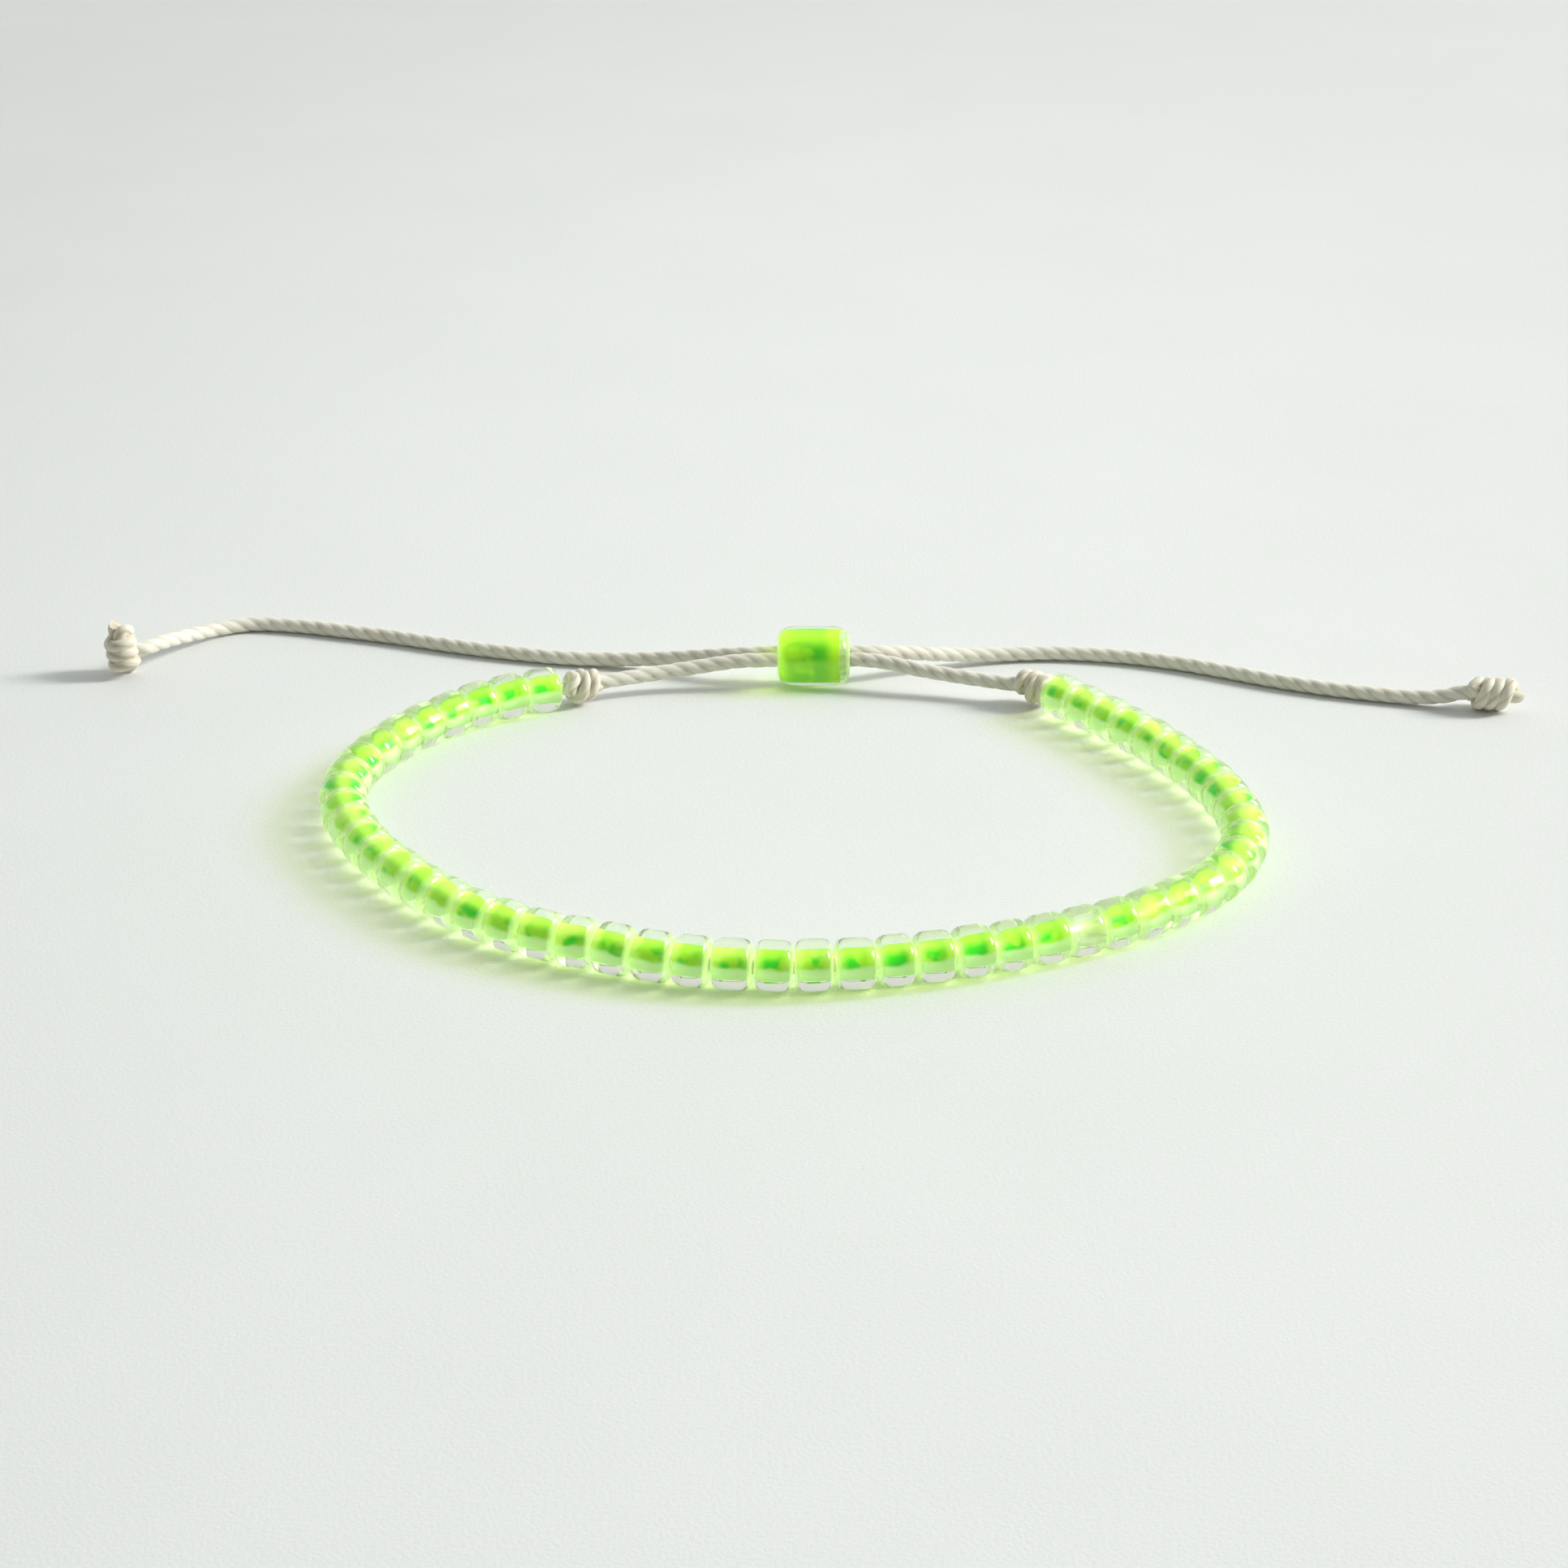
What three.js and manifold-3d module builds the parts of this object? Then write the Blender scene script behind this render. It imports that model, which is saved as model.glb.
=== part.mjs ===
// An adjustable beaded bracelet, lying on a table in the form it keeps by itself.
// Round glass seed beads run round an open loop on a waxed cord. A knot beside each end of the
// run stops the beads. Both ends of the cord then cross inside one larger bead, which slides to
// set the size, and go on as two free tails that end in knots.
// Units are millimetres, +Z is up, and the origin is on the table under the middle of the loop.

import * as THREE from 'three';
import { mergeVertices } from 'three/addons/utils/BufferGeometryUtils.js';
import Module from 'manifold-3d';

const wasm = await Module();
wasm.setup();

// Driving dimensions of the beads. Their lengths vary from bead to bead and drift along the run.
const beadDiameter = 3.0;
const beadPitch = 2.296;
const beadUnevenness = 0.05;
const unevennessStep = 2.4;
const beadLengthDrift = 0.026;
const beadSides = 12;
const meetingGap = 0.3;

// Driving dimensions of the cord and its knots
const cordDiameter = 1.0;
const cordSides = 8;
const cordStep = 2.4;
const knotDiameter = 2.3;
const beadKnotLength = 2.6;
const beadKnotWraps = 2;
const beadKnotHeight = 1.3;
const tailKnotLength = 3.3;
const tailKnotWraps = 3;
const knotWrapTilt = 0.5;
const knotRingSides = 14;
const knotEndCordWidths = 1.9;
const seatGap = 0.3;

// Driving dimensions of the sliding bead that closes the loop
const sliderLength = 5.0;
const sliderWall = 0.85;
const sliderRounding = 0.8;
const sliderSides = 16;
const sliderX = 1.7;
const sliderY = 21.1;
const cordGap = 0.2;
const boreClearance = 0.1;

// Shares of the wall that the sliding bead's rim may take, and of the rim that its corner keeps
const rimWallShare = 0.8;
const rimCornerShare = 0.3;

// How finely curves are measured, and how close two corners are before they count as one
const curveSamples = 2000;
const weldDistance = 1e-4;

// One bead's outline from its middle to its end, as shares of half its length and of its radius
const beadOutline = [
  { along: 0.5, across: 1.0 },
  { along: 0.86, across: 0.87 },
];
const neckShare = 0.56;

// The line that the bead holes follow, from the rear left end over the front to the rear right
const stringRoute = [
  [-15.3, 17.1], [-20.2, 14.6], [-24.3, 10.2], [-27.1, 5.0], [-27.7, -0.2],
  [-25.9, -5.6], [-22.4, -11.0], [-17.4, -16.0], [-11.4, -19.1], [-5.0, -21.2],
  [1.5, -21.6], [8.3, -20.5], [15.0, -18.3], [21.0, -15.1], [25.6, -10.7],
  [27.7, -5.2], [27.1, 0.4], [24.8, 6.0], [21.6, 11.2], [17.5, 16.4],
];

// The held cord between each bead knot and the sliding bead, from the knot on
const strandLeftRoute = [[-11.9, 18.9, 1.3], [-9.3, 19.6, 1.35], [-6.3, 20.2, 1.6], [-3.4, 20.45, 1.95]];
const strandRightRoute = [[14.4, 18.3, 1.3], [11.5, 19.0, 1.45], [8.8, 19.6, 1.7], [6.4, 20.3, 1.95]];

// The free tails as they lie, from the sliding bead out to their knots
const tailLeftRoute = [
  [-2.3, 21.75, 1.95], [-4.2, 22.1, 1.7], [-6.7, 22.8, 1.25], [-9.4, 23.5, 0.8],
  [-12.4, 24.0, 0.55], [-15.5, 24.4, 0.5], [-19.0, 25.2, 0.5], [-23.0, 26.4, 0.5],
  [-27.1, 27.9, 0.5], [-31.0, 29.1, 0.5], [-34.7, 30.1, 0.5], [-37.8, 30.4, 0.5],
  [-40.0, 29.4, 0.6], [-41.5, 27.7, 0.9], [-42.6, 26.0, 1.25], [-43.4, 24.5, 1.55],
];
const tailRightRoute = [
  [6.0, 21.9, 1.95], [8.0, 22.6, 1.65], [10.2, 23.5, 1.15], [12.5, 24.3, 0.75],
  [15.0, 24.9, 0.55], [18.0, 25.2, 0.5], [21.0, 25.0, 0.5], [24.0, 24.4, 0.5],
  [27.2, 23.3, 0.5], [30.0, 22.0, 0.5], [32.8, 20.6, 0.5], [36.0, 19.3, 0.5],
  [39.2, 18.3, 0.5], [42.0, 17.6, 0.55], [43.9, 17.2, 0.8],
];

// Where the tails end, and which way. The left knot stands on its end beside the tail, and the
// right one lies in line with it.
const tailLeftEnd = { x: -44.25, y: 23.25, heading: [-0.94, -0.34], knotStands: true };
const tailRightEnd = { x: 45.1, y: 17.0, heading: [0.99, -0.1], knotStands: false };
const standingKnotAxis = new THREE.Vector3(0.16, -0.1, -0.98);

// Sizes that follow from the driving dimensions
const beadRadius = beadDiameter / 2;
const cordRadius = cordDiameter / 2;
const knotRadius = knotDiameter / 2;
const cordOffset = (cordDiameter + cordGap) / 2;
const boreRadius = cordOffset + cordRadius + boreClearance;
const sliderRadius = boreRadius + sliderWall;
const sliderLeftFace = sliderX - sliderLength / 2;
const sliderRightFace = sliderX + sliderLength / 2;

// The radius of a polygon's corners whose flat sides lie at the given distance from its middle
const cornerRadius = (flatDistance, sides) => flatDistance / Math.cos(Math.PI / sides);

const paint = (color, roughness) => new THREE.MeshStandardMaterial({ color, roughness, metalness: 0 });
const beadGlass = paint(0xb4ee4a, 0.08);
const sliderGlass = paint(0x8fdc14, 0.12);
const waxedCord = paint(0xe2dcc8, 0.75);

const asVector = ([x, y, z]) => new THREE.Vector3(x, y, z);

function smoothCurve(points) {
  const curve = new THREE.CatmullRomCurve3(points, false, 'centripetal');
  curve.arcLengthDivisions = curveSamples;
  return curve;
}

// A closed surface through rings of points: side faces between rings, and one fan on each end
function loftRings(rings) {
  const sides = rings[0].length;
  const positions = rings.flat().flatMap((p) => [p.x, p.y, p.z]);
  const triangles = [];
  for (let ring = 0; ring < rings.length - 1; ring += 1) {
    for (let side = 0; side < sides; side += 1) {
      const next = (side + 1) % sides;
      const a = ring * sides + side;
      const b = ring * sides + next;
      const c = a + sides;
      const d = b + sides;
      triangles.push(a, b, d, a, d, c);
    }
  }
  const last = (rings.length - 1) * sides;
  for (let side = 1; side < sides - 1; side += 1) {
    triangles.push(0, side + 1, side);
    triangles.push(last, last + side, last + side + 1);
  }
  const geometry = new THREE.BufferGeometry();
  geometry.setAttribute('position', new THREE.Float32BufferAttribute(positions, 3));
  geometry.setIndex(triangles);
  return geometry;
}

// The beads' ends along the string, with the small differences in length that real beads have
const stringCurve = smoothCurve(stringRoute.map(([x, y]) => new THREE.Vector3(x, y, beadRadius)));
const stringLength = stringCurve.getLength();
const beadCount = 2 * Math.floor(stringLength / beadPitch / 2);
const runStart = (stringLength - beadCount * beadPitch) / 2;

function beadEnds() {
  const shares = [];
  for (let bead = 0; bead < beadCount; bead += 1) {
    const uneven = beadUnevenness * Math.sin(unevennessStep * bead);
    const drift = beadLengthDrift * Math.cos((Math.PI * bead) / beadCount);
    shares.push(1 + uneven + drift);
  }
  const total = shares.reduce((sum, share) => sum + share, 0);
  const ends = [runStart];
  for (const share of shares) {
    ends.push(ends.at(-1) + (share * beadCount * beadPitch) / total);
  }
  return ends;
}

const ends = beadEnds();

function stringFrame(distance) {
  const share = distance / stringLength;
  return { at: stringCurve.getPointAt(share), along: stringCurve.getTangentAt(share) };
}

// A ring of points square to the string, turned so that a flat side faces the table
function ringAround(at, along, flatDistance) {
  const up = new THREE.Vector3(0, 0, 1);
  const out = new THREE.Vector3().crossVectors(up, along).normalize();
  const radius = cornerRadius(flatDistance, beadSides);
  return Array.from({ length: beadSides }, (_, side) => {
    const angle = ((side + 0.5) * 2 * Math.PI) / beadSides;
    const point = at.clone().addScaledVector(out, radius * Math.cos(angle));
    return point.addScaledVector(up, radius * Math.sin(angle));
  });
}

// Beads first to last - 1 as one fused body, with narrow necks where they touch
function beadString(first, last, trimStart, trimEnd) {
  const neckRadius = beadRadius * neckShare;
  const neckRing = (distance) => {
    const { at, along } = stringFrame(distance);
    return ringAround(at, along, neckRadius);
  };
  const rings = [neckRing(ends[first] + trimStart)];
  for (let bead = first; bead < last; bead += 1) {
    const halfLength = (ends[bead + 1] - ends[bead]) / 2;
    const { at, along } = stringFrame(ends[bead] + halfLength);
    const outline = [
      ...beadOutline.toReversed().map((row) => ({ along: -row.along, across: row.across })),
      ...beadOutline,
    ];
    for (const row of outline) {
      const middle = at.clone().addScaledVector(along, row.along * halfLength);
      rings.push(ringAround(middle, along, row.across * beadRadius));
    }
    rings.push(neckRing(ends[bead + 1] - (bead === last - 1 ? trimEnd : 0)));
  }
  return loftRings(rings);
}

// A tube with the cord's section along a list of points
function cordTube(points, step) {
  const curve = smoothCurve(points);
  const corners = Array.from({ length: cordSides }, (_, side) => {
    const angle = ((side + 0.5) * 2 * Math.PI) / cordSides;
    return new THREE.Vector2(cordRadius * Math.cos(angle), cordRadius * Math.sin(angle));
  });
  const steps = Math.ceil(curve.getLength() / step);
  return new THREE.ExtrudeGeometry(new THREE.Shape(corners), { steps, bevelEnabled: false, extrudePath: curve });
}

function toSolid(geometry) {
  const bare = new THREE.BufferGeometry();
  bare.setAttribute('position', geometry.getAttribute('position'));
  bare.setIndex(geometry.getIndex());
  const merged = mergeVertices(bare, weldDistance);
  return new wasm.Manifold(new wasm.Mesh({
    numProp: 3,
    vertProperties: new Float32Array(merged.getAttribute('position').array),
    triVerts: new Uint32Array(merged.getIndex().array),
  }));
}

function toGeometry(solid) {
  const mesh = solid.getMesh();
  const geometry = new THREE.BufferGeometry();
  geometry.setAttribute('position', new THREE.BufferAttribute(mesh.vertProperties, 3));
  geometry.setIndex(new THREE.BufferAttribute(mesh.triVerts, 1));
  return geometry;
}

// A tight overhand knot along X: wraps of cord, tilted to and fro, round the cord's own core
function knot(length, wraps) {
  const wrapRadius = knotRadius - cordRadius;
  const spread = (length - cordDiameter * knotEndCordWidths) / (wraps - 1);
  const core = new THREE.CylinderGeometry(cordRadius, cordRadius, length, cordSides);
  core.rotateZ(Math.PI / 2);
  let body = toSolid(core);
  for (let wrap = 0; wrap < wraps; wrap += 1) {
    const ring = new THREE.TorusGeometry(wrapRadius, cordRadius, cordSides, knotRingSides);
    ring.rotateY(Math.PI / 2);
    ring.rotateZ(wrap % 2 === 0 ? knotWrapTilt : -knotWrapTilt);
    ring.translate((wrap - (wraps - 1) / 2) * spread, 0, 0);
    body = body.add(toSolid(ring));
  }
  return toGeometry(body);
}

// The sliding bead: a short barrel with rounded rims, drilled for two strands side by side
function slider() {
  const half = sliderLength / 2;
  const bore = cornerRadius(boreRadius, sliderSides);
  const outer = cornerRadius(sliderRadius, sliderSides);
  const rim = Math.min(sliderRounding, sliderWall * rimWallShare);
  const corner = rim * rimCornerShare;
  const outline = [
    [bore, -half], [outer - rim, -half], [outer - corner, -half + corner], [outer, -half + rim],
    [outer, half - rim], [outer - corner, half - corner], [outer - rim, half], [bore, half],
    [bore, -half],
  ];
  const barrel = new THREE.LatheGeometry(outline.map(([r, along]) => new THREE.Vector2(r, along)), sliderSides);
  barrel.rotateY(Math.PI / sliderSides);
  barrel.rotateZ(-Math.PI / 2);
  return barrel;
}

// Points of a strand inside the sliding bead: half a turn round the other strand. The strand
// comes in at the front and leaves at the back. side is 1 over the top, and -1 underneath.
function twistPoints(side) {
  const stops = [0, 0.2, 0.35, 0.5, 0.65, 0.8];
  const from = side > 0 ? sliderLeftFace : sliderRightFace;
  const run = sliderLength - 2 * seatGap;
  return stops.concat(1).map((stop) => {
    const turn = Math.PI * stop * stop * (3 - 2 * stop);
    return new THREE.Vector3(
      from + side * stop * run,
      sliderY - cordOffset * Math.cos(turn),
      sliderRadius + side * cordOffset * Math.sin(turn),
    );
  });
}

// Where a knot beside the bead run sits, and which way it points: from the bead to the strand
function beadKnotPlace(endDistance, outward, strandRoute) {
  const { at, along } = stringFrame(endDistance);
  const leaving = along.multiplyScalar(outward);
  const centre = at.addScaledVector(leaving, seatGap + beadKnotLength / 2);
  centre.z = beadKnotHeight;
  const axis = asVector(strandRoute[0]).sub(centre).normalize();
  return { centre, axis };
}

function placed(name, geometry, material) {
  const mesh = new THREE.Mesh(geometry, material);
  mesh.name = name;
  return mesh;
}

function placedKnot(name, length, wraps, centre, axis) {
  const mesh = placed(name, knot(length, wraps), waxedCord);
  mesh.position.copy(centre);
  mesh.quaternion.setFromUnitVectors(new THREE.Vector3(1, 0, 0), axis);
  return mesh;
}

// The knot at the end of a tail, lowered or raised until it touches the table
function tailKnot(name, finish, { heading, knotStands }) {
  const leaving = new THREE.Vector3(heading[0], heading[1], 0).normalize();
  const reach = knotStands ? knotRadius : tailKnotLength / 2;
  const centre = finish.clone().addScaledVector(leaving, seatGap + reach);
  const axis = knotStands ? standingKnotAxis.clone().normalize() : leaving;
  const mesh = placedKnot(name, tailKnotLength, tailKnotWraps, centre, axis);
  mesh.position.z -= new THREE.Box3().setFromObject(mesh, true).min.z;
  return mesh;
}

const bracelet = new THREE.Group();

// The two halves of the bead run, which meet at the front
const middleBead = beadCount / 2;
bracelet.add(placed('bead_string_left', beadString(0, middleBead, 0, meetingGap / 2), beadGlass));
bracelet.add(placed('bead_string_right', beadString(middleBead, beadCount, meetingGap / 2, 0), beadGlass));

// The knots beside the run and the strands from them through the sliding bead
const heldEnds = [
  { side: 'left', distance: ends[0], outward: -1, route: strandLeftRoute, turn: 1 },
  { side: 'right', distance: ends.at(-1), outward: 1, route: strandRightRoute, turn: -1 },
];
for (const { side, distance, outward, route, turn } of heldEnds) {
  const { centre, axis } = beadKnotPlace(distance, outward, route);
  bracelet.add(placedKnot(`bead_knot_${side}`, beadKnotLength, beadKnotWraps, centre, axis));
  const start = centre.clone().addScaledVector(axis, beadKnotLength / 2 + seatGap);
  const points = [start, ...route.slice(1).map(asVector), ...twistPoints(turn)];
  bracelet.add(placed(`strand_${side}`, cordTube(points, cordDiameter), waxedCord));
}

const slidingBead = placed('slider_bead', slider(), sliderGlass);
slidingBead.position.set(sliderX, sliderY, sliderRadius);
bracelet.add(slidingBead);

// The free tails, which start just inside the sliding bead's rear side, and their end knots
const tails = [
  { side: 'left', face: sliderLeftFace + seatGap, route: tailLeftRoute, end: tailLeftEnd },
  { side: 'right', face: sliderRightFace - seatGap, route: tailRightRoute, end: tailRightEnd },
];
for (const { side, face, route, end } of tails) {
  const start = new THREE.Vector3(face, sliderY + cordOffset, sliderRadius);
  const finish = new THREE.Vector3(end.x, end.y, end.knotStands ? tailKnotLength / 2 : knotRadius);
  bracelet.add(placed(`tail_${side}`, cordTube([start, ...route.map(asVector), finish], cordStep), waxedCord));
  bracelet.add(tailKnot(`tail_knot_${side}`, finish, end));
}

export default bracelet;
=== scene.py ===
# %% [markdown]
# An adjustable bracelet of glass seed beads, lying on white paper.
#
# Clear glass beads, whose holes are lined in neon green, run round an open loop on an off-white
# waxed cord. A knot beside each end of the run stops them. The cord's two ends cross inside one
# larger bead at the back, which slides to set the size, and go on as free tails with end knots.
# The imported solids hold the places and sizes. This script gives each of them its real surface:
# drilled glass, dyed linings, twisted thread and tied knots. All lengths are in metres.

import math

import bpy
import numpy as np
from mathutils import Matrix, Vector


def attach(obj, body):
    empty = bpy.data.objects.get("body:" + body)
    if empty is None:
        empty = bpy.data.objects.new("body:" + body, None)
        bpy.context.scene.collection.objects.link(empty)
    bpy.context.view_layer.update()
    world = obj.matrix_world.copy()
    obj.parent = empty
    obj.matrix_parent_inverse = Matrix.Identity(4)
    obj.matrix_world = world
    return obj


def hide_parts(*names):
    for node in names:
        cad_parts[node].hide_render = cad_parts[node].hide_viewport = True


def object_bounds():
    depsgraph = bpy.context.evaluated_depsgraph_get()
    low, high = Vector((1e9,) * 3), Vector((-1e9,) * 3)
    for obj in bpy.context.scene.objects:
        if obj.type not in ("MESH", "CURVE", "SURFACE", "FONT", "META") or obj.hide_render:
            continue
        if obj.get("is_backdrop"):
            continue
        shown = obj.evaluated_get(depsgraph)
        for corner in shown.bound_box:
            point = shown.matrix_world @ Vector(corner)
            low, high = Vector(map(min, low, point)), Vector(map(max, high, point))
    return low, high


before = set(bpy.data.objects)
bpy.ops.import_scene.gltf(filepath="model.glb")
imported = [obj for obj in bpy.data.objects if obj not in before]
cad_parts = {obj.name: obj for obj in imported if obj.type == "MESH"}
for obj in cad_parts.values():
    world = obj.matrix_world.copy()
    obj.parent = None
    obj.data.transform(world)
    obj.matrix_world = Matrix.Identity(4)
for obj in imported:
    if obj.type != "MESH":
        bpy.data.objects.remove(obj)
cad_box = [list(corner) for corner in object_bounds()]
scene = bpy.context.scene
MM = 0.001
print("solids:", ", ".join(sorted(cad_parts)))

# %% [markdown]
# The photograph was taken with a long lens from a low angle. Its focal length, in pixels of the
# frame, comes from how the beads shrink from the front of the loop to the back, and the tilt from
# how flat the loop looks.

# %% The camera
SENSOR = 36.0
FRAME_PIXELS = 1932
FOCAL_PIXELS = 4000
LOOKING_DOWN = 25.5

camera = bpy.data.objects.new("camera", bpy.data.cameras.new("camera"))
scene.collection.objects.link(camera)
camera.data.sensor_width = SENSOR
camera.data.lens = SENSOR * FOCAL_PIXELS / FRAME_PIXELS
camera.data.clip_start = 5 * MM
camera.location = Vector((-0.3, -181.75, 89.16)) * MM
camera.rotation_euler = (math.radians(90 - LOOKING_DOWN), 0, 0)
scene.camera = camera
print(f"lens {camera.data.lens:.1f} mm, {LOOKING_DOWN} degrees down")

# %% [markdown]
# Every soft line here, the bead run as well as the cords, goes smoothly through a few chosen
# points. A plain cubic curve through points swings out or loops where they lie unevenly. A
# centripetal one, which weighs each span by the root of its length, does neither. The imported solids
# use the same curve, so both lie on each other.

# %% A smooth line with a known length
SAMPLES_PER_SPAN = 60


def span(before, start, end, after, share):
    """Points between start and end. before and after are the points on either side of them."""
    pairs = (before, start), (start, end), (end, after)
    d0, d1, d2 = (np.linalg.norm(b - a) ** 0.5 for a, b in pairs)
    leaving = ((start - before) / d0 - (end - before) / (d0 + d1) + (end - start) / d1) * d1
    arriving = ((end - start) / d1 - (after - start) / (d1 + d2) + (after - end) / d2) * d1
    share = share[:, None]
    bend = -3 * start + 3 * end - 2 * leaving - arriving
    twist = 2 * start - 2 * end + leaving + arriving
    return start + leaving * share + bend * share**2 + twist * share**3


class Route:
    """A smooth line through points, which knows its length and its direction at any distance."""

    def __init__(self, points):
        points = np.asarray(points, float)
        before, after = 2 * points[0] - points[1], 2 * points[-1] - points[-2]
        points = np.vstack([before, points, after])
        share = np.linspace(0, 1, SAMPLES_PER_SPAN, endpoint=False)
        spans = [span(*points[first : first + 4], share) for first in range(len(points) - 3)]
        self.line = np.vstack([*spans, points[-2:-1]])
        steps = np.linalg.norm(np.diff(self.line, axis=0), axis=1)
        self.reach = np.concatenate([[0], np.cumsum(steps)])
        self.length = self.reach[-1]

    def at(self, distance):
        """The point at a distance from the start, or several."""
        return np.stack([np.interp(distance, self.reach, self.line[:, k]) for k in range(3)], axis=-1)

    def along(self, distance):
        """The direction there."""
        near = 0.1 * MM
        ahead = self.at(np.minimum(distance + near, self.length))
        behind = self.at(np.maximum(distance - near, 0))
        return unit(ahead - behind)


def unit(vectors):
    return vectors / np.linalg.norm(vectors, axis=-1, keepdims=True)


print(f"smooth lines with {SAMPLES_PER_SPAN} steps from one chosen point to the next")

# %% [markdown]
# A material is a small program made of nodes. Written out node by node it is long and hard to
# read. So one class wraps a node's output and lets Python's own operators add the maths nodes.
# A value and a wire can stand on either side, as in 1 - mask.

# %% Maths on sockets
class Wire:
    """An output of a node. Adding, multiplying and so on adds the node that does it."""

    def __init__(self, finish, socket):
        self.finish = finish
        self.socket = socket

    def maths(self, operation, *values):
        return self.finish.node("ShaderNodeMath", {"operation": operation}, dict(enumerate(values)))

    def __add__(self, other):
        return self.maths("ADD", self, other)

    def __radd__(self, other):
        return self.maths("ADD", other, self)

    def __sub__(self, other):
        return self.maths("SUBTRACT", self, other)

    def __rsub__(self, other):
        return self.maths("SUBTRACT", other, self)

    def __mul__(self, other):
        return self.maths("MULTIPLY", self, other)

    def __rmul__(self, other):
        return self.maths("MULTIPLY", other, self)

    def clamped(self):
        return self.finish.node("ShaderNodeClamp", {}, {"Value": self})


# %% [markdown]
# A second class holds the nodes themselves. One method adds any kind of node: its settings come
# first, because they decide which sockets it has, and then its sockets get a value or a wire. The
# few kinds that every finish of the bracelet needs get short names of their own.

# %% A finish under construction
class Finish:
    """The nodes of a material, or of the room around it."""

    def __init__(self, holder):
        self.holder = holder
        holder.use_nodes = True
        self.tree = holder.node_tree
        self.tree.nodes.clear()

    def node(self, kind, settings=None, inputs=None, output=None):
        """Adds a node, sets it up, joins or fills its inputs, and returns the output asked for."""
        made = self.tree.nodes.new(kind)
        for name, value in (settings or {}).items():
            setattr(made, name, value)
        for key, value in (inputs or {}).items():
            socket = made.inputs[key] if isinstance(key, int) else self.pick(made.inputs, key)
            if isinstance(value, Wire):
                self.tree.links.new(value.socket, socket)
            else:
                socket.default_value = value
        return Wire(self, self.pick(made.outputs, output)) if made.outputs else None

    @staticmethod
    def pick(sockets, name):
        """The first socket in use, or the first one in use with that name."""
        return next(s for s in sockets if s.enabled and name in (None, s.name))

    def noise(self, where, per_mm, detail=2.0):
        """Soft blotches from 0 to 1, so many to a millimetre."""
        inputs = {"Vector": where, "Scale": per_mm / MM, "Detail": detail}
        return self.node("ShaderNodeTexNoise", {}, inputs, "Fac")

    def steps(self, value, low, high):
        """0 below low and 1 above high, with a soft rise between them."""
        inputs = {"Value": value, "From Min": low, "From Max": high}
        return self.node("ShaderNodeMapRange", {"interpolation_type": "SMOOTHSTEP"}, inputs)

    def blend(self, share, first, second):
        """first where share is 0, second where it is 1."""
        colours = {"Factor": share, "A": as_colour(first), "B": as_colour(second)}
        return self.node("ShaderNodeMix", {"data_type": "RGBA"}, colours, "Result")

    def place(self):
        return self.node("ShaderNodeTexCoord", {}, {}, "Object")

    def bump(self, height, depth, strength=1.0):
        inputs = {"Height": height, "Distance": depth, "Strength": strength}
        return self.node("ShaderNodeBump", {}, inputs)

    def finished(self, shader):
        """Joins the shader to the output."""
        is_world = isinstance(self.holder, bpy.types.World)
        kind = "ShaderNodeOutputWorld" if is_world else "ShaderNodeOutputMaterial"
        self.node(kind, {}, {"Surface": shader})
        return self.holder


def as_colour(value):
    """A colour is a wire, or three numbers that get an alpha of 1."""
    return value if isinstance(value, Wire) else (*value, 1.0)


# %% [markdown]
# Real glass beads throw a pale green glow on the table, not a dark shadow. The renderer finds no
# light through bent glass when it looks for the lamp, and tracing it the other way would take very
# long. So for those shadow rays alone the shader gives way to a tinted filter. The dye and the
# cord inside the beads let some of the light pass too.

# %% Light through clear things
def lit_through(finish, shader, tint):
    """The shader, but for shadow rays a filter, whose tint colours the light that passes."""
    shadow_ray = finish.node("ShaderNodeLightPath", {}, {}, "Is Shadow Ray")
    filtered = finish.node("ShaderNodeBsdfTransparent", {}, {"Color": as_colour(tint)})
    return finish.node("ShaderNodeMixShader", {}, {0: shadow_ray, 1: shader, 2: filtered})


# %% [markdown]
# The cord is waxed thread, three plies twisted together. Its grooves are real relief in the mesh,
# because they show in the outline. The fibres are far finer than a pixel of the photograph, so
# they are only a streaked colour and a faint bump. For that, each point of the mesh remembers
# where it is in the thread: its place in the turning section, and how far along it lies.
# The cord in the beads is painted lighter and greener, a painted light for the lime glow of the dye round
# it.

# %% Thread finish
PLIES = 3
PLY_LAY = 3.6 * MM
PLY_GROOVE = 0.16
STREAK_STRETCH = 0.12


def waxed_thread(name, light, dark, shadow_tint=None):
    """Off-white thread, darker where it is worn, and painted darker in its grooves as painted shade."""
    finish = Finish(bpy.data.materials.new(name))
    fibre = finish.node("ShaderNodeAttribute", {"attribute_name": "fibre"}, {}, "Vector")
    groove_and_painted_shade = finish.node("ShaderNodeAttribute", {"attribute_name": "groove_and_painted_shade"}, {}, "Fac")
    streaks = finish.noise(fibre, 7.0, 3.0)
    soiled = finish.noise(finish.place(), 0.35, 2.0)
    # Painted shade: the grooves between the plies are coloured darker, on top of the random wear
    worn_and_groove_shade = finish.steps(streaks * 0.6 + soiled * 0.5 + groove_and_painted_shade * 0.35, 0.45, 1.0)
    colour = finish.blend(worn_and_groove_shade, light, dark)
    relief = finish.bump(streaks, 0.03 * MM, 0.6)
    shader = finish.node(
        "ShaderNodeBsdfPrincipled",
        {},
        {"Base Color": colour, "Roughness": 0.5 + streaks * 0.25, "Normal": relief, "Sheen Weight": 0.25},
    )
    return finish.finished(lit_through(finish, shader, shadow_tint) if shadow_tint else shader)


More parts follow.
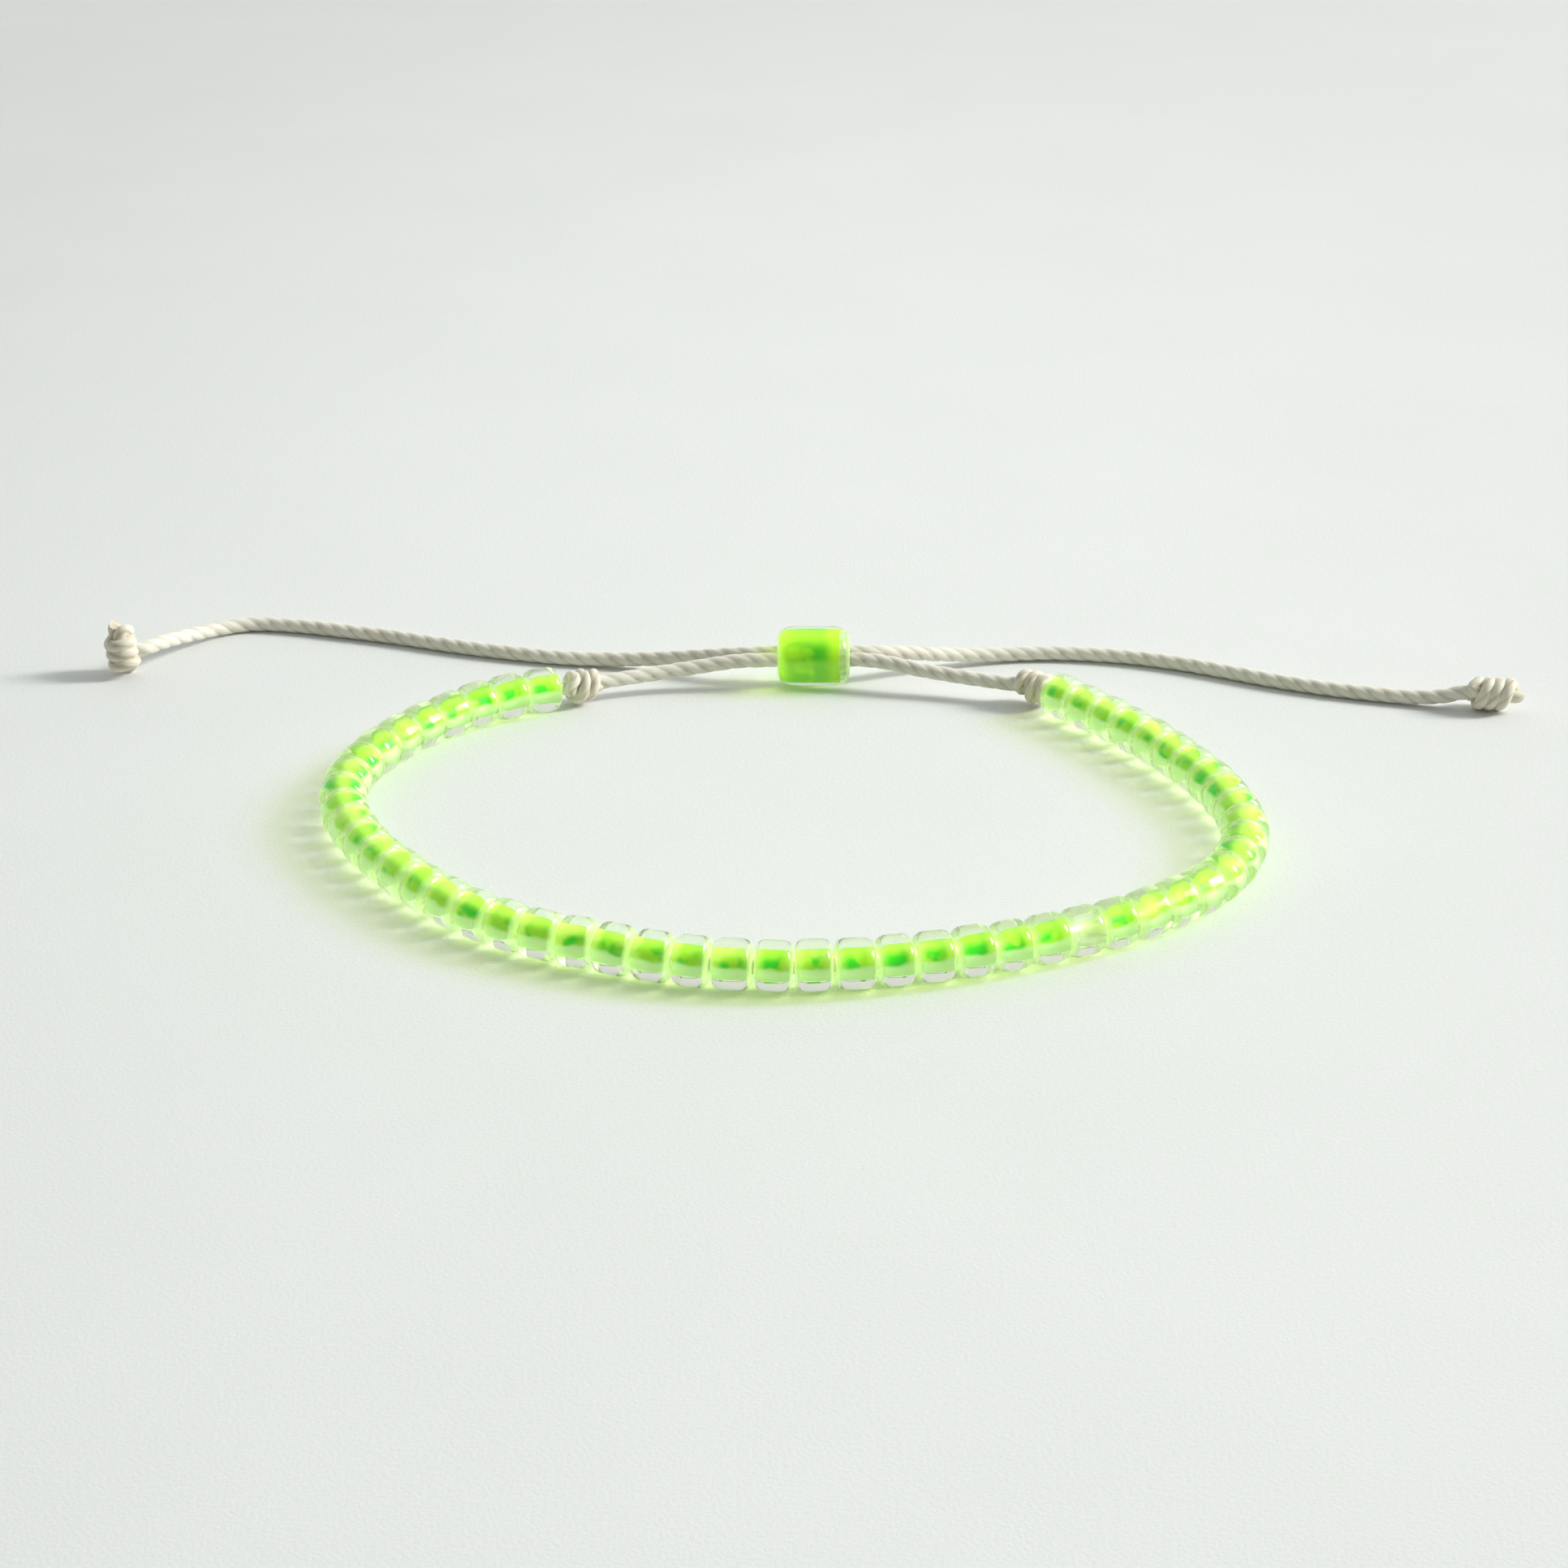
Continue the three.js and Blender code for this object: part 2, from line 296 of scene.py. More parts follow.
thread = waxed_thread("waxed thread", (0.80, 0.78, 0.68), (0.58, 0.53, 0.41))
# Painted shade: the knots' thread is a darker copy of the same thread, standing for the shade in the knots
shaded_knot_thread = waxed_thread("waxed thread, knotted", (0.77, 0.73, 0.60), (0.50, 0.43, 0.28))
# Painted light: the cord inside the beads is coloured lighter and greener, standing for the dye's lime glow
# round it
green_lit_thread = waxed_thread(
    "waxed thread in the beads", (0.87, 0.88, 0.70), (0.62, 0.66, 0.40), shadow_tint=(0.8, 0.8, 0.4)
)
print("thread materials:", ", ".join(made.name for made in (thread, shaded_knot_thread, green_lit_thread)))

# %% [markdown]
# A tube is the usual way to draw a cord. Here the section is not round but has three lobes, one
# for each ply, and turns as it goes along. The section is carried along the line without turning
# by itself, so that only the ply's twist shows.

# %% A twisted thread along a route
THREAD_STEP = 0.2 * MM
THREAD_SIDES = 24
SHARP_EDGE = math.radians(50)


def carried_frames(tangents):
    """Two directions square to each tangent, turning no more than the line itself makes them."""
    is_steep = abs(tangents[0][2]) >= 0.9
    side = unit(np.cross(tangents[0], (0.0, 1.0, 0.0) if is_steep else (0.0, 0.0, 1.0)))
    sides = []
    for tangent in tangents:
        side = unit(side - tangent * (side @ tangent))
        sides.append(side)
    sides = np.array(sides)
    return sides, np.cross(tangents, sides)


def make_piece(name, points, faces, slot, material, stands_for=()):
    """A smooth mesh that rides on the bracelet, with its material and the solids it replaces."""
    mesh = bpy.data.meshes.new(name)
    mesh.from_pydata(points.reshape(-1, 3).tolist(), [], faces)
    mesh.shade_smooth()
    mesh.set_sharp_from_angle(angle=SHARP_EDGE)
    mesh.materials.append(material)
    piece = bpy.data.objects.new(name, mesh)
    scene.collection.objects.link(piece)
    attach(piece, "root")
    if stands_for:
        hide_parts(*stands_for)
    return piece


def remember(piece, name, kind, values):
    """Stores a value at each point of a piece's mesh, for its material to read."""
    field = "vector" if kind == "FLOAT_VECTOR" else "value"
    attribute = piece.data.attributes.new(name, kind, "POINT")
    attribute.data.foreach_set(field, np.asarray(values, np.float32).ravel())


def ring_faces(rings, sides, closed=False):
    """Four-sided faces between each ring of points and the next. closed joins the last to the first."""
    faces = []
    for ring in range(rings if closed else rings - 1):
        low, high = ring * sides, (ring + 1) % rings * sides
        for k in range(sides):
            after = (k + 1) % sides
            faces.append((low + k, low + after, high + after, high + k))
    return faces


def make_thread(name, route, radius, material, stands_for=()):
    """Twisted thread along a route."""
    count = math.ceil(route.length / THREAD_STEP) + 1
    distance = np.linspace(0.0, route.length, count)
    middle, tangents = route.at(distance), route.along(distance)
    side, up = carried_frames(tangents)
    angle = np.arange(THREAD_SIDES) * 2 * math.pi / THREAD_SIDES
    ply_angle = angle[None, :] - distance[:, None] * 2 * math.pi / PLY_LAY
    groove_and_painted_shade = 1 - np.abs(np.cos(PLIES / 2 * ply_angle))
    reach = radius * (1 - PLY_GROOVE * groove_and_painted_shade**2)
    points = (
        middle[:, None]
        + (reach * np.cos(angle))[..., None] * side[:, None]
        + (reach * np.sin(angle))[..., None] * up[:, None]
    )
    faces = ring_faces(count, THREAD_SIDES)
    last = (count - 1) * THREAD_SIDES
    faces += [tuple(range(THREAD_SIDES))[::-1], tuple(range(last, last + THREAD_SIDES))]
    piece = make_piece(name, points, faces, "waxed_cord", material, stands_for)
    stretched = np.broadcast_to(distance[:, None] * STREAK_STRETCH, ply_angle.shape)
    section = np.stack([reach * np.cos(ply_angle), reach * np.sin(ply_angle), stretched], axis=-1)
    remember(piece, "fibre", "FLOAT_VECTOR", section)
    # How deep each point lies in a groove, for the relief and for the painted groove shade
    remember(piece, "groove_and_painted_shade", "FLOAT", groove_and_painted_shade**2)
    return piece


print(f"thread: {PLIES} plies, one turn in {PLY_LAY / MM:.1f} mm")

# %% [markdown]
# Both tails leave the sliding bead at the back of its hole, come down to the table and lie on it.
# The photograph shows them from end to end, so their lengths are its own. The left knot stands on
# its end beside the tail, and the right one lies in line with it.

# %% Where the cords run
CORD_RADIUS = 0.5 * MM
CORD_OFFSET = 0.6 * MM
KNOT_RADIUS = 1.15 * MM
SEAT_GAP = 0.3 * MM
SLIDER_MIDDLE = Vector((1.7, 21.1, 2.05)) * MM
SLIDER_HALF = 2.5 * MM
TAIL_KNOT_LENGTH = 3.3 * MM
BEAD_KNOT_LENGTH = 2.6 * MM

tail_left_points = [
    (-2.3, 21.75, 1.95), (-4.2, 22.1, 1.7), (-6.7, 22.8, 1.25), (-9.4, 23.5, 0.8),
    (-12.4, 24.0, 0.55), (-15.5, 24.4, 0.5), (-19.0, 25.2, 0.5), (-23.0, 26.4, 0.5),
    (-27.1, 27.9, 0.5), (-31.0, 29.1, 0.5), (-34.7, 30.1, 0.5), (-37.8, 30.4, 0.5),
    (-40.0, 29.4, 0.6), (-41.5, 27.7, 0.9), (-42.6, 26.0, 1.25), (-43.4, 24.5, 1.55),
    (-44.25, 23.25, 1.65),
]  # fmt: skip
tail_right_points = [
    (6.0, 21.9, 1.95), (8.0, 22.6, 1.65), (10.2, 23.5, 1.15), (12.5, 24.3, 0.75),
    (15.0, 24.9, 0.55), (18.0, 25.2, 0.5), (21.0, 25.0, 0.5), (24.0, 24.4, 0.5),
    (27.2, 23.3, 0.5), (30.0, 22.0, 0.5), (32.8, 20.6, 0.5), (36.0, 19.3, 0.5),
    (39.2, 18.3, 0.5), (42.0, 17.6, 0.55), (43.9, 17.2, 0.8), (45.1, 17.0, 1.15),
]  # fmt: skip
strand_left_points = [(-11.9, 18.9, 1.3), (-9.3, 19.6, 1.35), (-6.3, 20.2, 1.6), (-3.4, 20.45, 1.95)]
strand_right_points = [(14.4, 18.3, 1.3), (11.5, 19.0, 1.45), (8.8, 19.6, 1.7), (6.4, 20.3, 1.95)]


def mm(points):
    """Points given in millimetres, in metres."""
    return [np.array(point) * MM for point in points]


print(f"cord {2 * CORD_RADIUS / MM:.1f} mm thick, knots {2 * KNOT_RADIUS / MM:.1f} mm thick")

# %% [markdown]
# Each knot is a cord wrapped on itself. Rings round a core would do from afar, as in the packed
# solids, but from near they show no beginning and no end. So one line follows the cord: it goes in
# along the knot's axis, climbs to the surface at the far end, winds back in turns that lie against
# each other, dips under and leaves past the climb. The turns lean a little, as pulled turns do,
# and the cord in them is drawn slightly thin.
# The free cord runs on a short way into the knot, so that no seam shows where they meet. A knot
# that stands on its end takes its cord in from the side instead.

# %% A tied knot
WRAP_CORD = 0.44 * MM
WRAP_REACH = KNOT_RADIUS - WRAP_CORD
CORE_REACH = 0.25 * MM
CLIMB_REACH = 0.5 * MM
CLIMB_INSET = 0.28 * MM
MOUTH_REACH = 0.3 * MM
MOUTH_INSET = 0.1 * MM
TIP_REACH = 0.1 * MM
LEAN = 0.25
POINTS_PER_TURN = 8
REACH_IN = 0.7 * MM


def cosine(degrees):
    return math.cos(math.radians(degrees))


def sine(degrees):
    return math.sin(math.radians(degrees))


def knot_points(length, wraps, lead_in, lead_out):
    """A knot's cord about its own middle. Each row is how far along, how far out, and an angle."""
    half = length / 2
    last = half - WRAP_CORD - LEAN * WRAP_REACH
    climb = half - CLIMB_INSET
    rows = [*lead_in, (0.4 * half, CORE_REACH, 270), (climb, CLIMB_REACH, 300)]
    count = POINTS_PER_TURN * wraps
    for k in range(count + 1):
        angle = k * 360 / POINTS_PER_TURN
        lean = LEAN * WRAP_REACH * cosine(angle)
        rows.append((last * (1 - 2 * k / count) + lean, WRAP_REACH, angle))
    rows += [(-climb, CLIMB_REACH, 60), (-0.4 * half, CORE_REACH, 90), (0.4 * half, CORE_REACH, 110)]
    rows += [(half - MOUTH_INSET, MOUTH_REACH, 120), (half + lead_out, TIP_REACH, 120)]
    return [(along, out * cosine(angle), out * sine(angle)) for along, out, angle in rows]


def straight_in(length):
    """The first rows of a knot whose cord comes in along its axis."""
    half = length / 2
    return [(-half + MOUTH_INSET, MOUTH_REACH, 240), (-0.4 * half, CORE_REACH, 250)]


FROM_THE_SIDE = [(-0.2 * MM, 0.9 * MM, 0), (-0.1 * MM, 0.5 * MM, 0)]


def make_knot(name, points, centre, axis, outward, stands_for):
    """A knot at centre, along axis. outward is the direction that its angle 0 points in."""
    axis = unit(np.array(axis, float))
    side = unit(np.array(outward, float) - axis * (axis @ outward))
    turned = np.array(points) @ np.stack([axis, side, np.cross(axis, side)])
    route = Route(turned + centre)
    print(f"{name}: {route.length / MM:.1f} mm of cord")
    return make_thread(name, route, WRAP_CORD, shaded_knot_thread, [stands_for])


# %% [markdown]
# The tails are the bracelet's two loose cords, each laid with its real length. It starts
# inside the sliding bead, where the strand that it continues ends, and runs into its end knot.

# %% The free tails and their end knots
TAIL_START = 1.9 * MM
UPRIGHT = np.array((-0.16, 0.1, 0.98))
UPRIGHT_LIFT = 0.13 * MM
KNOT_TIP = 0.15 * MM


def lay_tail(side, outward, points, leaving, knot_stands):
    """A tail from the sliding bead to its end knot, and the knot."""
    leaving = unit(np.array((*leaving, 0.0)))
    start = np.array(SLIDER_MIDDLE) + (outward * TAIL_START, CORD_OFFSET, 0)
    finish = mm(points)[-1]
    route = Route([start, *mm(points), finish + leaving * REACH_IN])
    if knot_stands:
        centre = finish + leaving * (SEAT_GAP + KNOT_RADIUS)
        centre[2] = TAIL_KNOT_LENGTH / 2 + UPRIGHT_LIFT
        lead_in, axis, facing = FROM_THE_SIDE, UPRIGHT, -leaving
    else:
        centre = finish + leaving * (SEAT_GAP + TAIL_KNOT_LENGTH / 2)
        lead_in, axis, facing = straight_in(TAIL_KNOT_LENGTH), leaving, (0, 0.4, 1)
    turns = knot_points(TAIL_KNOT_LENGTH, 3, lead_in, KNOT_TIP)
    knot = make_knot(f"end_knot_{side}", turns, centre, axis, facing, f"tail_knot_{side}")
    tail = make_thread(f"loose_tail_{side}", route, CORD_RADIUS, thread, [f"tail_{side}"])
    print(f"tail_{side}: {route.length / MM:.1f} mm from the sliding bead to its knot")


lay_tail("left", -1, tail_left_points, (-0.94, -0.34), True)
lay_tail("right", 1, tail_right_points, (0.99, -0.1), False)

# %% [markdown]
# The beads were strung as bought, so no two are quite alike. Their lengths vary from bead to bead
# and drift a little along the run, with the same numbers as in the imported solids.

# %% Where the beads sit
BEADS = 52
BEAD_RADIUS = 1.5 * MM
BEAD_PITCH = 2.296 * MM
UNEVENNESS = 0.05
UNEVENNESS_STEP = 2.4
LENGTH_DRIFT = 0.026
RUN_HEIGHT = 1.5

string_points = [
    (-15.3, 17.1), (-20.2, 14.6), (-24.3, 10.2), (-27.1, 5.0), (-27.7, -0.2),
    (-25.9, -5.6), (-22.4, -11.0), (-17.4, -16.0), (-11.4, -19.1), (-5.0, -21.2),
    (1.5, -21.6), (8.3, -20.5), (15.0, -18.3), (21.0, -15.1), (25.6, -10.7),
    (27.7, -5.2), (27.1, 0.4), (24.8, 6.0), (21.6, 11.2), (17.5, 16.4),
]  # fmt: skip
string_route = Route(mm([(x, y, RUN_HEIGHT) for x, y in string_points]))
order = np.arange(BEADS)
unevenness = UNEVENNESS * np.sin(UNEVENNESS_STEP * order)
shares = 1 + unevenness + LENGTH_DRIFT * np.cos(math.pi * order / BEADS)
bead_lengths = shares * BEADS * BEAD_PITCH / shares.sum()
run_start = (string_route.length - bead_lengths.sum()) / 2
bead_middles = run_start + np.cumsum(bead_lengths) - bead_lengths / 2
print(f"{BEADS} beads, {bead_lengths.min() / MM:.2f} to {bead_lengths.max() / MM:.2f} mm long")

# %% [markdown]
# A knot beside each end of the run keeps the beads on the cord. From there the cord goes on as a
# strand to the sliding bead. Inside that bead the two strands change sides, one over the other,
# which is what lets them slide and still grip.


# %% The knots beside the beads and the strands of the loop
CROSSING_LENGTH = 4.4 * MM
BEAD_KNOT_HEIGHT = 1.3 * MM


def crossing(turn):
    """A strand's points inside the sliding bead. turn is 1 for the left strand, -1 for the right."""
    points = []
    for share in (0, 0.2, 0.35, 0.5, 0.65, 0.8, 1):
        angle = math.pi * share**2 * (3 - 2 * share)
        along = turn * (share * CROSSING_LENGTH - SLIDER_HALF)
        across = (-CORD_OFFSET * math.cos(angle), turn * CORD_OFFSET * math.sin(angle))
        points.append(np.array(SLIDER_MIDDLE) + (along, *across))
    return points


def tie_end(side, distance, outward, points):
    """The knot past the last bead on one side, and the strand from it into the sliding bead."""
    seat = SEAT_GAP + BEAD_KNOT_LENGTH / 2
    centre = string_route.at(distance) + outward * string_route.along(distance) * seat
    centre[2] = BEAD_KNOT_HEIGHT
    axis = unit(mm(points)[0] - centre)
    turns = knot_points(BEAD_KNOT_LENGTH, 2, straight_in(BEAD_KNOT_LENGTH), 0.0)
    make_knot(f"stop_knot_{side}", turns, centre, axis, (0, -0.5, 1), f"bead_knot_{side}")
    start = centre + axis * (seat - REACH_IN)
    route = Route([start, *mm(points)[1:], *crossing(-outward)])
    make_thread(f"loop_strand_{side}", route, CORD_RADIUS, thread, [f"strand_{side}"])
    print(f"strand_{side}: {route.length / MM:.1f} mm")
    return centre - axis * (seat - REACH_IN)


CORE_POINTS = 60
end_left = tie_end("left", run_start, -1, strand_left_points)
end_right = tie_end("right", string_route.length - run_start, 1, strand_right_points)
inside = np.linspace(run_start, string_route.length - run_start, CORE_POINTS)
through_beads = string_route.at(inside)
core_route = Route([end_left, *through_beads, end_right])
make_thread("cord_in_beads", core_route, CORD_RADIUS, green_lit_thread)
print(f"cord inside the beads: {core_route.length / MM:.1f} mm")

# %% [markdown]
# A seed bead is a short piece of drawn glass tube, cut and then tumbled in heat until its edges
# are round. So its section is a rounded rectangle, a superellipse, with a straight hole. The glass
# is clear. What looks green is a thin layer of dye on the wall of the hole, which the round glass
# in front of it magnifies until it fills most of the bead.


# %% Drilled glass beads
BEAD_SIDES = 40
OUTLINE_STEPS = 30
SQUARENESS = 4.4
HOLE_RADIUS = 0.58 * MM
BEAD_GAP = 0.05 * MM


def outline_of(half, radius, hole, squareness):
    """A bead's outline from one rim of its hole over the outside to the other rim."""
    first = math.asin((hole / radius) ** (squareness / 2))
    angle = np.linspace(first, math.pi - first, OUTLINE_STEPS)
    endwise = np.cos(angle)
    along = -half * np.sign(endwise) * np.abs(endwise) ** (2 / squareness)
    return along, radius * np.sin(angle) ** (2 / squareness)


def end_share(outline, half, radius, squareness):
    """How far each point of the outline belongs to a bead's end face: 0 on its side, 1 on its end."""
    along, across = outline
    endwise = np.abs(along / half) ** (squareness - 1) / half
    outwards = np.abs(across / radius) ** (squareness - 1) / radius
    return endwise / np.hypot(endwise, outwards)


def turned_points(outline, centre, axis, sides):
    """The outline turned about an axis through centre."""
    along, across = outline
    axis = unit(np.asarray(axis, float))
    up = unit(np.array((0, 0, 1.0)) - axis * axis[2])
    side = np.cross(axis, up)
    angle = np.arange(sides) * 2 * math.pi / sides
    spoke = np.cos(angle)[:, None] * up + np.sin(angle)[:, None] * side
    points = centre + along[:, None, None] * axis + across[:, None, None] * spoke
    return points.reshape(-1, 3), np.tile(spoke[:, 2], len(along))


def merge(forms):
    """Several closed forms, each of points and faces, as one."""
    points, faces = [], []
    for form_points, form_faces in forms:
        first = sum(len(p) for p in points)
        faces += [tuple(first + k for k in face) for face in form_faces]
        points.append(form_points)
    return np.concatenate(points), faces


print(f"hole {2 * HOLE_RADIUS / MM:.2f} mm wide")

# %% [markdown]
# The dye is a skin on the hole's wall. Its outer face lies just inside the glass, so that no thin
# film of air comes between them, and it stops short of the bead's rounded rims.

# %% The dyed wall of a hole
WALL_SIDES = 32
WALL_STEPS = 9
DYE = 0.03 * MM
DYED_SHARE = 0.78


def dyed_wall(half, hole, shift=0.0):
    """The outline of the dye in a hole, on the outside and back on the inside."""
    along = np.linspace(-half, half, WALL_STEPS) * DYED_SHARE + shift
    outer, inner = np.full(WALL_STEPS, hole + DYE), np.full(WALL_STEPS, hole - DYE)
    return np.concatenate([along, along[::-1]]), np.concatenate([outer, inner])


def wall_ends(sides):
    """How far towards its ends each point of a dyed wall lies: 0 in the middle, 1 at the ends."""
    along, _ = dyed_wall(1, 1)
    return np.repeat(np.abs(along) / DYED_SHARE, sides)


print(f"dye on {DYED_SHARE:.0%} of each hole's length")

# %% [markdown]
# The beads also differ in width, in how straight they sit on the cord and in how pale their dye
# is. One generator with a fixed seed draws all three, so each run gives the same bracelet. In one
# stretch at the front right the dye is paler, and one bead there has lost it all.

# %% How the beads differ
THINNER = 0.02
WIDER = 0.008
TILT = math.radians(1.6)
MOST_TILT = 0.05
PALE_STRETCH = 0.5
PALE_MIDDLE = 36
PALE_SPREAD = 2.5
BARE_BEAD = 33

chance = np.random.default_rng(52)
widths = BEAD_RADIUS * (1 + chance.uniform(-THINNER, WIDER, BEADS))
tilts = chance.normal(0, TILT, (BEADS, 2)).clip(-MOST_TILT, MOST_TILT)
stretch = np.exp(-(((order - PALE_MIDDLE) / PALE_SPREAD) ** 2))
paleness = chance.beta(1.2, 2.6, BEADS) + PALE_STRETCH * stretch
print(f"bead widths {2 * widths.min() / MM:.2f} to {2 * widths.max() / MM:.2f} mm")

# %% [markdown]
# Each half of the run is one piece of glass and one piece of dye, as each half is one solid in the
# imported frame. A bead stands on the table whatever its width.

# %% Half a run of beads
BEAD_LIFT = 0.01 * MM


def bead_forms(k):
    """The glass of bead k with its end shares, and its dyed wall with how far up each point faces."""
    axis = string_route.along(bead_middles[k])
    across = np.cross((0, 0, 1.0), axis)
    axis = unit(axis + tilts[k, 0] * across + (0, 0, tilts[k, 1]))
    centre = string_route.at(bead_middles[k])
    centre[2] = widths[k] + BEAD_LIFT
    half = (bead_lengths[k] - BEAD_GAP) / 2
    outline = outline_of(half, widths[k], HOLE_RADIUS, SQUARENESS)
    glass, _ = turned_points(outline, centre, axis, BEAD_SIDES)
    ends = np.repeat(end_share(outline, half, widths[k], SQUARENESS), BEAD_SIDES)
    wall, facing = turned_points(dyed_wall(half, HOLE_RADIUS), centre, axis, WALL_SIDES)
    return glass, ends, wall, facing


def make_half(side, beads):
    """The glass of one half of the run as one piece, and its dyed walls as another."""
    glass, ends, walls, facing, pale = [], [], [], [], []
    for k in beads:
        bead, end, wall, up = bead_forms(k)
        ends.append(end)
        glass.append((bead, ring_faces(OUTLINE_STEPS, BEAD_SIDES, closed=True)))
        if k == BARE_BEAD:
            continue
        walls.append((wall, ring_faces(2 * WALL_STEPS, WALL_SIDES, closed=True)))
        facing.append(up)
        pale.append(np.full(len(up), paleness[k]))
    solid = [f"bead_string_{side}"]
    glass_piece = make_piece(f"glass_beads_{side}", *merge(glass), "bead_glass", clear_glass, solid)
    remember(glass_piece, "end_face", "FLOAT", np.concatenate(ends))
    dye_piece = make_piece(f"bead_linings_{side}", *merge(walls), "bead_glass", neon_dye)
    remember(dye_piece, "facing_up", "FLOAT", np.concatenate(facing))
    remember(dye_piece, "endwards", "FLOAT", np.tile(wall_ends(WALL_SIDES), len(walls)))
    remember(dye_piece, "paleness", "FLOAT", np.concatenate(pale))
    print(f"glass_beads_{side}: {len(glass_piece.data.polygons)} faces")


# %% [markdown]
# The glass is clear with a breath of green, polished by the fire but not quite flat, so it gets a
# faint ripple. Where the tube was cut it is a little frosted, and those rims are painted lime with a
# faint painted glow, which stands for the dye's light caught in them. A thin coat over the beads
# makes their glints brighter, nearly as bright as in the photograph.


# %% Clear glass
FROST = 0.72
PAINTED_RIM_GLOW = 0.06


def glass_finish(name, tint, painted_rim_colour, shadow_tint, coat=0.3):
    """Clear glass of a tint. painted_rim_colour is the lime painted on its frosted ends, which also glow
    with it as painted light.
    """
    finish = Finish(bpy.data.materials.new(name))
    place = finish.place()
    end_face = finish.node("ShaderNodeAttribute", {"attribute_name": "end_face"}, {}, "Fac")
    ripple = finish.bump(finish.noise(place, 0.7, 0.0), 0.005 * MM, 0.3)
    clear = {
        "Base Color": as_colour(tint),
        "Roughness": 0.02,
        "IOR": 1.5,
        "Transmission Weight": 1.0,
        "Coat Weight": coat,
        "Coat Roughness": 0.08,
        "Coat IOR": 1.7,
        "Normal": ripple,
    }
    # Painted light: the frosted rims are coloured lime and glow faintly, standing for the dye's light
    # caught in them
    cut = {
        "Base Color": as_colour(painted_rim_colour),
        "Roughness": 0.35,
        "IOR": 1.5,
        "Transmission Weight": 0.45,
        "Emission Color": as_colour(painted_rim_colour),
        "Emission Strength": PAINTED_RIM_GLOW,
    }
    frost_and_painted_rim = finish.steps(end_face + finish.noise(place, 1.6, 2.0) * 0.25, 0.62, 1.15) * FROST
    shader = finish.node(
        "ShaderNodeMixShader",
        {},
        {
            0: frost_and_painted_rim,
            1: finish.node("ShaderNodeBsdfPrincipled", {}, clear),
            2: finish.node("ShaderNodeBsdfPrincipled", {}, cut),
        },
    )
    return finish.finished(lit_through(finish, shader, shadow_tint))


clear_glass = glass_finish(
    "clear bead glass",
    tint=(0.90, 0.96, 0.84),
    painted_rim_colour=(0.80, 1.0, 0.56),
    shadow_tint=(0.835, 0.88, 0.66),
)
slider_clear_glass = glass_finish(
    "sliding bead glass",
    tint=(0.93, 1.0, 0.85),
    painted_rim_colour=(0.78, 1.0, 0.45),
    shadow_tint=(0.88, 0.93, 0.78),
    coat=0.0,
)
print("glass:", clear_glass.name, "and", slider_clear_glass.name)

# %% [markdown]
# The dye is a fluorescent lime that was washed into the holes. Its top and its ends are painted a
# paler cream, a painted light, and it is paler too where it is thin, and a deeper green in the spots
# where it gathered. The underside is painted a pale mint, a painted light for the white paper below,
# and the whole lining has a weak painted glow, stronger on the underside.


# %% Neon dye
def dye_finish(name, lime, cream, green, painted_underside, spots_per_mm, painted_glow, shadow_tint, veil=0.9):
    """A lining of dye, with painted light on top, at the ends and on the underside, and a painted glow.
    veil is how much the painted underside colour covers the others there.
    """
    finish = Finish(bpy.data.materials.new(name))
    place = finish.place()
    paleness = finish.node("ShaderNodeAttribute", {"attribute_name": "paleness"}, {}, "Fac")
    facing_up = finish.node("ShaderNodeAttribute", {"attribute_name": "facing_up"}, {}, "Fac")
    endwards = finish.node("ShaderNodeAttribute", {"attribute_name": "endwards"}, {}, "Fac")
    patches = finish.noise(place, 0.6, 2.0)
    spots = finish.noise(place, spots_per_mm, 1.5)
    # Paler cream: painted light on top and at both ends, and thin dye in random patches, more so in pale
    # beads
    thin_and_painted_light = finish.steps(facing_up * 0.9 + patches * 0.9 + paleness * 0.5, 1.2, 1.85)
    thin_and_painted_light = (thin_and_painted_light + finish.steps(endwards + patches * 0.4, 0.60, 1.10)).clamped()
    colour = finish.blend(thin_and_painted_light, lime, cream)
    # Gathered in spots on the sides, away from the top and the ends
    gathered = finish.steps(spots - paleness * 0.25, 0.38, 0.52) * finish.steps(facing_up, 1.05, 0.6)
    gathered = gathered * finish.steps(endwards, 0.95, 0.4)
    colour = finish.blend(gathered, colour, green)
    # Painted light: the underside gets its own painted colour and a stronger painted glow than the top side
    below = finish.steps(facing_up + patches * 0.9, 0.80, 0.42)
    top_glow_colour = finish.blend(0.4, colour, (0.0, 0.0, 0.0))
    painted_glow_colour = finish.blend(below, top_glow_colour, painted_underside)
    colour = finish.blend(below * veil, colour, painted_underside)
    # Painted glow: the emission makes the lining give light of its own, dimmer on the top side
    shader = finish.node(
        "ShaderNodeBsdfPrincipled",
        {},
        {"Base Color": colour, "Roughness": 0.45, "Emission Color": painted_glow_colour, "Emission Strength": painted_glow},
    )
    return finish.finished(lit_through(finish, shader, shadow_tint))


neon_dye = dye_finish(
    "neon lining",
    lime=(0.38, 0.86, 0.01),
    cream=(0.62, 0.96, 0.12),
    green=(0.03, 0.72, 0.0),
    painted_underside=(0.68, 1.0, 0.44),
    spots_per_mm=1.05,
    painted_glow=0.18,
    shadow_tint=(0.85, 0.85, 0.4),
)
slider_dye = dye_finish(
    "sliding bead lining",
    lime=(0.36, 0.80, 0.0),
    cream=(0.52, 0.90, 0.01),
    green=(0.07, 0.52, 0.0),
    painted_underside=(0.30, 0.76, 0.0),
    spots_per_mm=0.55,
    painted_glow=0.2,
    shadow_tint=(0.88, 0.92, 0.5),
    veil=0.2,
)
print("linings:", neon_dye.name, "and", slider_dye.name)

